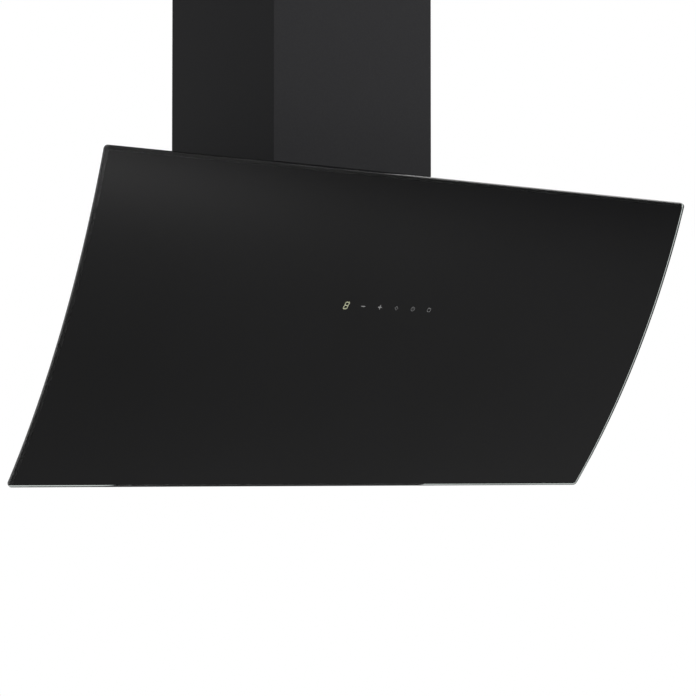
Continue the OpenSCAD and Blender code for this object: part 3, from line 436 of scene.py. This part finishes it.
PANE_RIM = 4 * MM
PANE_FRONT_R = 0.8 * MM
PANE_BACK_R = 2 * MM
PANE_ROWS = 96
CORNER_STEPS = 8
CORNER_LEAST_R = 0.3 * MM
EDGE_STEPS = 8
PANE_FACE, PANE_CLEAR, PANE_BACK = range(3)


def pane_rows(inset):
    """Half widths and heights up the slope of the pane's outline, drawn in by inset."""
    radius = max(GLASS_CORNER - inset, CORNER_LEAST_R)
    centre = inset + radius
    middle = GLASS_W / 2 - centre
    corner = [pi / 2 * k / CORNER_STEPS for k in range(CORNER_STEPS + 1)]
    low = [(middle + radius * sin(a), centre - radius * cos(a)) for a in corner]
    high = [(x, GLASS_CHORD - s) for x, s in reversed(low)]
    rise = GLASS_CHORD - 2 * centre
    straight = [(GLASS_W / 2 - inset, centre + rise * k / PANE_ROWS) for k in range(1, PANE_ROWS)]
    return low + straight + high


def add_pane():
    """Glass painted black on the back. Its round polished edges and a rim in front of them
    are clear, so light from behind comes through them."""
    shape = bmesh.new()
    turns = [pi / 2 * k / EDGE_STEPS for k in range(EDGE_STEPS + 1)]
    front = [(PANE_FRONT_R * (1 - sin(a)), PANE_FRONT_R * (1 - cos(a))) for a in turns]
    back = [(PANE_BACK_R * (1 - sin(a)), GLASS_T - PANE_BACK_R * (1 - cos(a)))
            for a in reversed(turns)]
    rings = []
    for inset, depth in [(PANE_RIM, 0)] + front + back:
        rows = [(x, s, arc_at(s) + depth) for x, s in pane_rows(inset)]
        rings.append([[shape.verts.new((side * x, v, s)) for x, s, v in rows] for side in (-1, 1)])

    def face(corners, kind):
        shape.faces.new(corners).material_index = kind

    last = len(rings[0][0]) - 1
    for near, far in zip(rings, rings[1:]):
        for side in (0, 1):
            for k in range(last):
                face([near[side][k], near[side][k + 1], far[side][k + 1], far[side][k]], PANE_CLEAR)
        for k in (0, last):
            face([near[0][k], near[1][k], far[1][k], far[0][k]], PANE_CLEAR)
    for ring, kind in ((rings[0], PANE_FACE), (rings[-1], PANE_BACK)):
        for k in range(last):
            face([ring[0][k], ring[1][k], ring[1][k + 1], ring[0][k + 1]], kind)
    bmesh.ops.transform(shape, matrix=SLOPE, verts=shape.verts)
    mesh = mesh_of("glass_pane", shape, smooth=20)
    finishes = [FINISHES["black_glass"], rim_glass(), enamel()]
    piece("glass_pane", mesh, "glass_door", "black_glass", finishes, ["glass_panel"])


# Shapes turned round an axis or built on the place of a CAD solid

ROW_S = 264.4 * MM
ROW = SLOPE.to_3x3() @ Matrix.Rotation(-math.asin((ROW_S - GLASS_CHORD / 2) / GLASS_R), 3, "X")
AXES = [Vector((1, 0, 0)), Vector((0, 1, 0)), Vector((0, 0, 1)), SLOPE.to_3x3().col[1],
        SLOPE.to_3x3().col[2], ROW.col[1]]
WELD_REACH = 0.01 * MM


def lathe(shape, profile, place, steps=24):
    """Turn rows of (radius, height) round the z axis of place. A radius may be a function of
    the angle, and a radius of 0 closes the shape."""
    rings = []
    for radius, height in profile:
        if radius == 0:
            rings.append([shape.verts.new(place @ Vector((0, 0, height)))] * steps)
            continue
        ring = []
        for k in range(steps):
            angle = 2 * pi * k / steps
            reach = radius(angle) if callable(radius) else radius
            point = Vector((reach * cos(angle), reach * sin(angle), height))
            ring.append(shape.verts.new(place @ point))
        rings.append(ring)
    for near, far in zip(rings, rings[1:]):
        for k in range(steps):
            corners = dict.fromkeys([near[k - 1], near[k], far[k], far[k - 1]])
            shape.faces.new(list(corners))


def tube(shape, rings):
    """Join rings of corners one after the other and close both ends."""
    for near, far in zip(rings, rings[1:]):
        for k in range(len(near)):
            shape.faces.new([near[k - 1], near[k], far[k], far[k - 1]])
    shape.faces.new(rings[0])
    shape.faces.new(rings[-1])


def slab(shape, low, high, edge, kind=0):
    """A block with rounded edges between two corners."""
    made = bmesh.ops.create_cube(shape, size=1)["verts"]
    size = Vector(high) - Vector(low)
    middle = (Vector(low) + Vector(high)) / 2
    for vert in made:
        vert.co = middle + Vector(vert.co[k] * size[k] for k in range(3))
    for face in dict.fromkeys(face for vert in made for face in vert.link_faces):
        face.material_index = kind
    edges = list(dict.fromkeys(line for vert in made for line in vert.link_edges))
    bmesh.ops.bevel(shape, geom=edges, offset=edge, segments=2, profile=0.5, affect="EDGES",
                    material=kind)


def solids_of(name):
    """The corners of each separate solid of a CAD node."""
    shape = bmesh.new()
    shape.from_mesh(NODES[name].data)
    bmesh.ops.remove_doubles(shape, verts=shape.verts, dist=WELD_REACH)
    seen = set()
    found = []
    for start in shape.verts:
        if start in seen:
            continue
        seen.add(start)
        reached = [start]
        for vert in reached:
            for edge in vert.link_edges:
                other = edge.other_vert(vert)
                if other not in seen:
                    seen.add(other)
                    reached.append(other)
        found.append([vert.co.copy() for vert in reached])
    shape.free()
    return found


def round_about(points):
    """The middle and axis of a round solid, and each corner's (height, distance from the axis)."""
    middle = sum(points, Vector()) / len(points)
    best = None
    for axis in AXES:
        rows = []
        for point in points:
            height = (point - middle).dot(axis)
            rows.append((height, (point - middle - height * axis).length))
        if best is None or max(row[1] for row in rows) < max(row[1] for row in best[1]):
            best = (axis, rows)
    return middle, best[0], best[1]


# Pan-head screws with a cross recess and a rolled thread

HEAD_R = 3.6 * MM
HEAD_H = 1.6 * MM
SHANK_R = 2 * MM
CORE_R = 1.5 * MM
THREAD_PITCH = 1.2 * MM
THREAD_STEPS = 5
CROSS_REACH = 1.9 * MM
CROSS_HALF = 0.5 * MM
CROSS_DEPTH = 1.15 * MM
POINT_H = 0.5 * MM
NECK_H = 0.4 * MM
DOME_STEPS = 4
SCREW_NODES = ("housing_screws", "tray_screws", "hinge_screws", "blower_screws", "bracket_screws",
               "chimney_screws")


def cross_at(share):
    """The outline of a cross, shrunk to that share."""
    def reach(angle):
        off = abs((angle + pi / 4) % (pi / 2) - pi / 4)
        return share * min(CROSS_REACH / cos(off), CROSS_HALF / max(sin(off), 0.001))
    return reach


def thread_at(height):
    """The outline of the shank at that height, which winds round with the thread."""
    def reach(angle):
        wave = abs(2 * ((height / THREAD_PITCH + angle / (2 * pi)) % 1) - 1)
        return CORE_R + (SHANK_R - CORE_R) * wave ** 2
    return reach


def screw_profile(length):
    """Rows for lathe, from the tip of the shank to the floor of the recess. The head's
    underside is at height 0."""
    count = int((length - POINT_H - NECK_H) / THREAD_PITCH * THREAD_STEPS)
    thread = [-length + POINT_H + k * THREAD_PITCH / THREAD_STEPS for k in range(count)]
    shank = [(0, -length), (CORE_R * 0.8, -length)] + [(thread_at(h), h) for h in thread]
    edge = [(CORE_R, 0), (HEAD_R * 0.96, 0), (HEAD_R, HEAD_H * 0.08)]
    turns = [pi / 2 * k / DOME_STEPS for k in range(DOME_STEPS + 1)]
    dome = [(HEAD_R * (0.68 + 0.32 * cos(a)), HEAD_H * (0.45 + 0.55 * sin(a))) for a in turns]
    recess = [(cross_at(1), HEAD_H), (cross_at(0.6), HEAD_H - CROSS_DEPTH),
              (0, HEAD_H - CROSS_DEPTH * 1.1)]
    return shank + edge + dome + recess


def add_screws():
    for name in SCREW_NODES:
        shape = bmesh.new()
        for points in solids_of(name):
            middle, axis, rows = round_about(points)
            head = [height for height, reach in rows if reach > (HEAD_R + SHANK_R) / 2]
            way = 1 if sum(head) > 0 else -1
            top = max(way * height for height in head)
            tip = min(way * height for height, reach in rows)
            seat = middle + way * (top - HEAD_H) * axis
            turn = (way * axis).to_track_quat("Z", "Y").to_matrix().to_4x4()
            lathe(shape, screw_profile(top - HEAD_H - tip), Matrix.Translation(seat) @ turn)
        stand_in(name, mesh_of(name + "_shown", shape, smooth=40))


# Grease filters: sheets of expanded metal on a knitted pack

MESH_X = (20.2 * MM, 181.8 * MM)
MESH_S = (62.2 * MM, 323.8 * MM)
MESH_V = 51.4 * MM
MESH_T = 6 * MM
DIAMOND_W = 13 * MM
DIAMOND_H = 6.4 * MM
STRAND = 0.9 * MM
STRAND_CORNERS = [(-0.5, -0.25), (0.5, -0.25), (0.5, 0.25), (-0.5, 0.25)]
SHEET_DEPTHS = (0.6 * MM, 1.7 * MM)
PACK_DEPTH = 2.6 * MM
PACK_EDGE_R = 0.6 * MM


def expanded_sheet(shape, mirror, depth, half_step):
    """Zigzag strands side by side up the slope, each touching the next at its peaks."""
    across = int((MESH_X[1] - MESH_X[0]) / (DIAMOND_W / 2))
    up = int((MESH_S[1] - MESH_S[0]) / (DIAMOND_H / 2))
    side = (MESH_X[1] - MESH_X[0]) / across
    lift = (MESH_S[1] - MESH_S[0]) / up
    for row in range(up):
        rings = []
        for k in range(across + 1):
            peak = 1 if (k + row + half_step) % 2 else -1
            x = MESH_X[0] + k * side
            s = MESH_S[0] + (row + 0.5) * lift + peak * (lift / 2 - STRAND * 0.15)
            middle = Vector((mirror * x, depth + peak * STRAND * 0.35, s))
            corners = [middle + STRAND * Vector((0, v, u)) for u, v in STRAND_CORNERS]
            rings.append([shape.verts.new(SLOPE @ corner) for corner in corners])
        tube(shape, rings)


def add_filter_packs():
    for side, mirror in (("left", -1), ("right", 1)):
        body = f"filter_{side}"
        shape = bmesh.new()
        for half_step, depth in enumerate(SHEET_DEPTHS):
            expanded_sheet(shape, mirror, MESH_V + depth, half_step)
        mesh = mesh_of(f"filter_sheets_{side}", shape)
        piece(f"filter_sheets_{side}", mesh, body, "filter_mesh", replaced=[f"filter_mesh_{side}"])
        shape = bmesh.new()
        near, far = sorted(mirror * x for x in MESH_X)
        slab(shape, (near, MESH_V + PACK_DEPTH, MESH_S[0]), (far, MESH_V + MESH_T, MESH_S[1]),
             PACK_EDGE_R)
        bmesh.ops.transform(shape, matrix=SLOPE, verts=shape.verts)
        mesh = mesh_of(f"filter_pack_{side}", shape)
        piece(f"filter_pack_{side}", mesh, body, "filter_mesh", [knitted_pack_painted_shade()])


# Blower: a motor with end shields round its stack, and a wheel of curved blades

WHEEL_PLACE = Matrix.Translation((0, -84 * MM, 15 * MM)) @ Matrix.Rotation(pi / 2, 4, "Y")
WHEEL_R = 62 * MM
WHEEL_HALF_W = 54 * MM
WHEEL_RING_T = 2 * MM
BLADE_DEPTH = 12 * MM
BLADE_T = 0.9 * MM
BLADE_COUNT = 30
BLADE_STEPS = 7
BLADE_SWEEP = radians(11)
BLADE_INSET = 0.6 * MM
ROUND_STEPS = 96
SHIELD_RIBS = 12
GROOVE_DEPTH = 1.6 * MM

# Radius and height in mm, the rear shield first. The stack of plates between the shields and
# the bearing seats, at 12 mm and less, have no grooves.
STACK_R = 34.6
SEAT_R = 12
MOTOR_ROWS = [
    (0, -83.6), (10, -83.6), (12, -82.6), (27, -82.2), (31.5, -80.4), (34.4, -77), (35.8, -73),
    (35.8, -64), (STACK_R, -63.2), (STACK_R, -32.4), (35.8, -31.6),
    (35.8, -22), (34.4, -16), (31, -12), (26, -9.4), (13, -8.2), (10, -7.2), (8, -4.2), (0, -4.2),
]


def add_impeller_cage():
    shape = bmesh.new()
    inner = WHEEL_R - BLADE_DEPTH
    for low in (-WHEEL_HALF_W, WHEEL_HALF_W - WHEEL_RING_T):
        high = low + WHEEL_RING_T
        ring = [(inner, low), (WHEEL_R, low), (WHEEL_R, high), (inner, high), (inner, low)]
        lathe(shape, ring, WHEEL_PLACE, ROUND_STEPS)
    for blade in range(BLADE_COUNT):
        turn = 2 * pi * blade / BLADE_COUNT
        front, back = [], []
        for k in range(BLADE_STEPS):
            share = k / (BLADE_STEPS - 1)
            reach = inner + BLADE_INSET + share * (BLADE_DEPTH - 2 * BLADE_INSET)
            angle = turn + BLADE_SWEEP * share ** 2
            half = BLADE_T / 2 / reach
            front.append((reach, angle + half))
            back.append((reach, angle - half))
        outline = front + back[::-1]
        ends = []
        for height in (-WHEEL_HALF_W + WHEEL_RING_T / 2, WHEEL_HALF_W - WHEEL_RING_T / 2):
            corners = [(reach * cos(angle), reach * sin(angle), height) for reach, angle in outline]
            ends.append([shape.verts.new(WHEEL_PLACE @ Vector(corner)) for corner in corners])
        for k in range(len(outline)):
            shape.faces.new([ends[0][k - 1], ends[0][k], ends[1][k], ends[1][k - 1]])
        for end in ends:
            for k in range(BLADE_STEPS - 1):
                shape.faces.new([end[k], end[k + 1], end[-k - 2], end[-k - 1]])
    stand_in("impeller_cage", mesh_of("impeller_cage", shape))


def ribbed(radius):
    """A radius with a rounded groove between each two ribs of an end shield."""
    return lambda angle: radius - GROOVE_DEPTH * (0.5 - 0.5 * cos(SHIELD_RIBS * angle)) ** 3


def add_motor():
    shape = bmesh.new()
    rows = []
    for radius, height in MOTOR_ROWS:
        plain = radius <= SEAT_R or radius == STACK_R
        rows.append((radius * MM if plain else ribbed(radius * MM), height * MM))
    lathe(shape, rows, WHEEL_PLACE, ROUND_STEPS)
    stand_in("motor", mesh_of("motor", shape))


# Electrics: springs under the touch board, and what stands on the power board

SPRING_WIRE_R = 0.3 * MM
SPRING_TURNS = 5
SPRING_STEPS = 18
WIRE_STEPS = 8
BOARD_T = 1.6 * MM
WALL_T = 1.2 * MM
WALL_H = 3 * MM
POLES = 5
POLE_SCREW_L = 3 * MM
POLE_SCREW_SCALE = 0.62

# What stands on the board, in mm from its left front corner or, with a minus, its rear edge:
# corner, size, edge radius, and 1 for black or 2 for white
BOARD_BLOCKS = (
    ((7, 28), (15, 12, 13), 0.6, 2),
    ((27, 28), (15, 12, 13), 0.6, 2),
    ((44, 34), (9, 6, 1.8), 0.2, 1),
    ((8, -9), (24, 6, 7), 0.4, 2),
)
# Place, radius and height
BOARD_CANS = (
    ((40, -8), 3.2, 11),
    ((48.5, -8), 4, 12.5),
    ((57, -8), 3.2, 11),
)


def turned(shape, profile, place, kind):
    """A lathed part with a material of its own."""
    before = set(shape.faces)
    lathe(shape, profile, place)
    for face in set(shape.faces) - before:
        face.material_index = kind


def can(shape, place, radius, height, kind):
    """An upright part with a rolled edge, such as a small capacitor on a board."""
    profile = [(0, 0), (radius * 0.95, 0), (radius, height * 0.06), (radius * 0.93, height * 0.12),
               (radius, height * 0.18), (radius, height * 0.94), (radius * 0.9, height),
               (radius * 0.8, height * 0.98), (0, height * 0.98)]
    turned(shape, profile, Matrix.Translation(place), kind)


def add_springs():
    shape = bmesh.new()
    count = SPRING_TURNS * SPRING_STEPS
    round_wire = [2 * pi * j / WIRE_STEPS for j in range(WIRE_STEPS)]
    for points in solids_of("sensor_springs"):
        middle, axis, rows = round_about(points)
        low = min(height for height, reach in rows) + SPRING_WIRE_R
        high = max(height for height, reach in rows) - SPRING_WIRE_R
        radius = max(reach for height, reach in rows) - SPRING_WIRE_R
        turn = axis.to_track_quat("Z", "Y").to_matrix()
        rings = []
        for k in range(count + 1):
            angle = 2 * pi * k / SPRING_STEPS
            out = turn @ Vector((cos(angle), sin(angle), 0))
            centre = middle + radius * out + axis * (low + (high - low) * k / count)
            corners = [centre + SPRING_WIRE_R * (out * cos(a) + axis * sin(a)) for a in round_wire]
            rings.append([shape.verts.new(corner) for corner in corners])
        tube(shape, rings)
    stand_in("sensor_springs", mesh_of("sensor_springs", shape))


def add_power_board():
    """The board, its supply block, two relays, three cans, a chip and a row of sockets."""
    low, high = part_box("power_board")
    top = low.z + BOARD_T
    tall = [vert.co for vert in NODES["power_board"].data.vertices if vert.co.z > top + 1 * MM]
    supply_low = (min(p.x for p in tall), min(p.y for p in tall), top)
    supply_high = (max(p.x for p in tall), max(p.y for p in tall), high.z)

    def on_board(x, y):
        return Vector((low.x + x * MM, (high.y if y < 0 else low.y) + y * MM, top))

    shape = bmesh.new()
    slab(shape, low, (high.x, high.y, top), 0.15 * MM)
    slab(shape, supply_low, supply_high, 1.2 * MM, 1)
    for corner, size, edge, kind in BOARD_BLOCKS:
        start = on_board(*corner)
        slab(shape, start, start + Vector(size) * MM, edge * MM, kind)
    for place, radius, height in BOARD_CANS:
        can(shape, on_board(*place), radius * MM, height * MM, 1)
    finishes = [FINISHES["circuit_board"], FINISHES["black_plastic"], FINISHES["white_plastic"]]
    stand_in("power_board", mesh_of("power_board", shape), finishes)


def add_terminal_block():
    """Poles between thin walls, each with a clamping screw."""
    low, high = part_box("terminal_block")
    shape = bmesh.new()
    floor = high.z - WALL_H
    slab(shape, low, (high.x, high.y, floor), 0.5 * MM)
    pitch = (high.x - low.x - WALL_T) / POLES
    for k in range(POLES + 1):
        wall = low.x + k * pitch
        slab(shape, (wall, low.y, floor - 1 * MM), (wall + WALL_T, high.y, high.z), 0.3 * MM)
    scale = Matrix.Scale(POLE_SCREW_SCALE, 4)
    for k in range(POLES):
        seat = ((k + 0.5) * pitch + low.x + WALL_T / 2, (low.y + high.y) / 2, floor)
        turned(shape, screw_profile(POLE_SCREW_L), Matrix.Translation(seat) @ scale, 1)
    finishes = [FINISHES["white_plastic"], FINISHES["bright_zinc"]]
    stand_in("terminal_block", mesh_of("terminal_block", shape), finishes)


# CAD pieces that keep their shape: worn sharp edges and a finish

FOLDS = {
    1.0 * MM: ["filter_frame_left", "filter_frame_right"],
    0.9 * MM: ["chimney_lower", "chimney_upper"],
    0.6 * MM: ["control_box", "control_box_lid"],
    0.5 * MM: ["housing_shell", "housing_sides", "lamp_panel", "suction_tray", "control_case",
               "outlet_collar", "lamp_bezel_left", "lamp_bezel_right", "blower_scroll",
               "scroll_cover", "catch_magnets"],
    0.4 * MM: ["back_plate", "door_frame", "filter_pull_left", "filter_pull_right",
               "chimney_bracket", "chimney_clips", "motor_cradle"],
    0.3 * MM: ["hinge_leaf_body_left", "hinge_leaf_body_right", "hinge_leaf_door_left",
               "hinge_leaf_door_right", "catch_plates"],
}
FOLD_R = {name: radius for radius, names in FOLDS.items() for name in names}
FLAT_ANGLE = radians(0.5)
FOLD_ANGLE = radians(40)


def round_edges(thing, radius):
    """Join the corners of the CAD mesh, dissolve the edges in flat faces and round folds."""
    weld = thing.modifiers.new("weld", "WELD")
    weld.merge_threshold = WELD_REACH
    flat = thing.modifiers.new("flat", "DECIMATE")
    flat.decimate_type = "DISSOLVE"
    flat.angle_limit = FLAT_ANGLE
    bevel = thing.modifiers.new("folds", "BEVEL")
    bevel.width = radius
    bevel.segments = 3
    bevel.limit_method = "ANGLE"
    bevel.angle_limit = FOLD_ANGLE
    normals = thing.modifiers.new("normals", "WEIGHTED_NORMAL")
    normals.keep_sharp = True


def dress_cad_nodes():
    for name, thing in NODES.items():
        made = FINISHES[SLOTS[name]]
        if not thing.material_slots:
            thing.data.materials.append(made)
        for place in thing.material_slots:
            place.material = made
        if name in FOLD_R:
            round_edges(thing, FOLD_R[name])


set_studio()
dress_cad_nodes()
add_pane()
add_screws()
add_filter_packs()
add_impeller_cage()
add_motor()
add_springs()
add_power_board()
add_terminal_block()
